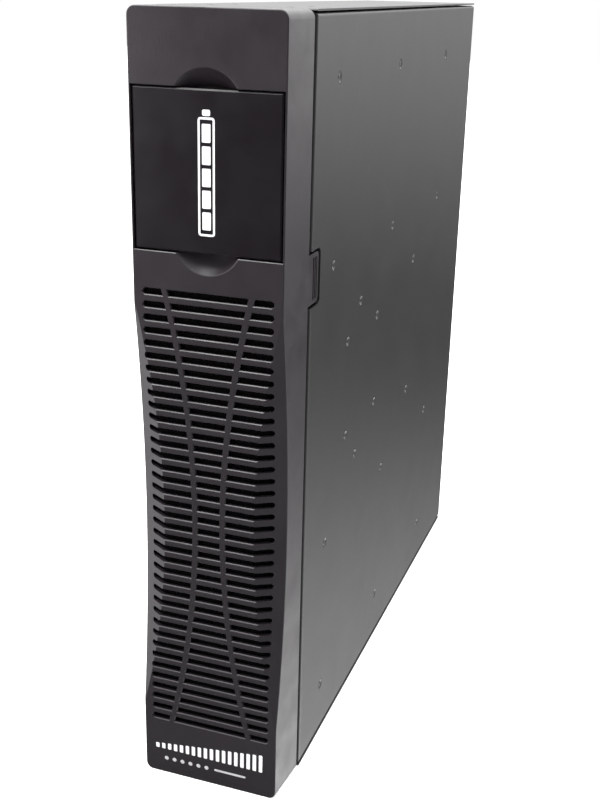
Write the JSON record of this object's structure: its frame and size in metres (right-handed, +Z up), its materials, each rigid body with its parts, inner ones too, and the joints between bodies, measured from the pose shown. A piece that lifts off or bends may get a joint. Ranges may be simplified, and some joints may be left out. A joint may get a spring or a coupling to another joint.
{
  "type": "server rack battery",
  "caption": "Rack battery module standing as a tower: slotted waisted bezel with a pull-out tile, steel case, and a sliding battery tray behind the bezel.",
  "frame": {"origin": "middle of the base of the whole box, with the module standing on its narrow wall", "axes": "+X across the narrow width towards the large panel with the press studs, +Y towards the rear, +Z up"},
  "size_m": [0.088, 0.422, 0.438],
  "materials": {
    "bezel_plastic": "satin",
    "tile_plastic": "satin",
    "filter_foam": "matte",
    "case_steel": "satin",
    "zinc_steel": "satin",
    "black_steel": "satin",
    "liner_film": "matte",
    "battery_abs": "matte",
    "battery_lid_abs": "matte",
    "lead_plates": "matte",
    "terminal_metal": "satin",
    "contact_metal": "polished",
    "lead_black": "satin",
    "lead_red": "satin",
    "jumper_blue": "satin",
    "connector_plastic": "matte",
    "foam": "matte",
    "breaker_plastic": "satin",
    "lever_plastic": "gloss",
    "fuse_ceramic": "satin"
  },
  "bodies": {
    "chassis": {"chassis_shell": "case_steel", "base_pan": "case_steel", "press_studs": "case_steel", "base_liner": "liner_film", "push_washers": "zinc_steel", "side_liner": "liner_film", "front_frame": "black_steel", "stud_receptacles": "connector_plastic", "frame_nuts": "zinc_steel", "wall_screws": "black_steel", "ear_nuts": "zinc_steel", "guide_rails": "zinc_steel", "side_rails": "zinc_steel", "rear_panel": "case_steel", "dock_socket": "connector_plastic", "dock_contacts": "contact_metal", "dock_bracket": "zinc_steel", "dc_housings": "connector_plastic", "dc_contacts": "contact_metal", "dc_frames": "black_steel", "rear_screws": "black_steel", "breaker_body": "breaker_plastic", "ground_stud": "zinc_steel", "ground_hardware": "zinc_steel", "fuse_block": "connector_plastic", "fuses": "fuse_ceramic", "supply_lead_red": "lead_red", "supply_lead_black": "lead_black", "connector_links": "lead_red"},
    "bezel": {"front_bezel": "bezel_plastic", "dust_screen": "filter_foam", "bezel_ball_studs": "zinc_steel"},
    "label_tile_body": {"label_tile": "tile_plastic"},
    "battery_tray": {"tray_pan": "zinc_steel", "tray_front_plate": "black_steel", "handle_brackets": "black_steel", "battery_cases": "battery_abs", "battery_lids": "battery_lid_abs", "plate_packs": "lead_plates", "battery_terminals": "terminal_metal", "series_jumpers": "jumper_blue", "string_leads_black": "lead_black", "string_leads_red": "lead_red", "foam_pads": "foam", "retaining_bars": "zinc_steel", "tray_plug": "connector_plastic", "plug_pins": "contact_metal"},
    "handle_bail": {"tray_handle": "black_steel"},
    "thumbscrew_low": {"lower_thumbscrew": "zinc_steel"},
    "thumbscrew_high": {"upper_thumbscrew": "zinc_steel"},
    "breaker_toggle": {"breaker_lever": "lever_plastic"}
  },
  "joints": [
    {"name": "bezel_pull", "type": "slide", "parent": "chassis", "child": "bezel", "axis": [0, -1, 0], "range_m": [0, 0.45]},
    {"name": "tile_pull", "type": "slide", "parent": "bezel", "child": "label_tile_body", "axis": [0, -1, 0], "range_m": [0, 0.03]},
    {"name": "tray_slide", "type": "slide", "parent": "chassis", "child": "battery_tray", "axis": [0, -1, 0], "range_m": [0, 0.36]},
    {"name": "handle_swing", "type": "hinge", "parent": "battery_tray", "child": "handle_bail", "pos_m": [-0.0105, -0.1804, 0.15], "axis": [0, 0, -1], "range_deg": [0, 90]},
    {"name": "lower_screw_turn", "type": "hinge", "parent": "battery_tray", "child": "thumbscrew_low", "pos_m": [0, -0.181, 0.01], "axis": [0, -1, 0], "continuous": true},
    {"name": "upper_screw_turn", "type": "hinge", "parent": "battery_tray", "child": "thumbscrew_high", "pos_m": [0, -0.181, 0.428], "axis": [0, -1, 0], "continuous": true},
    {"name": "breaker_throw", "type": "hinge", "parent": "chassis", "child": "breaker_toggle", "pos_m": [0, 0.195, 0.281], "axis": [-1, 0, 0], "range_deg": [0, 60]}
  ],
  "couplings": [
    {"joint": "tray_slide", "follows": "bezel_pull", "ratio": 0.8}
  ]
}
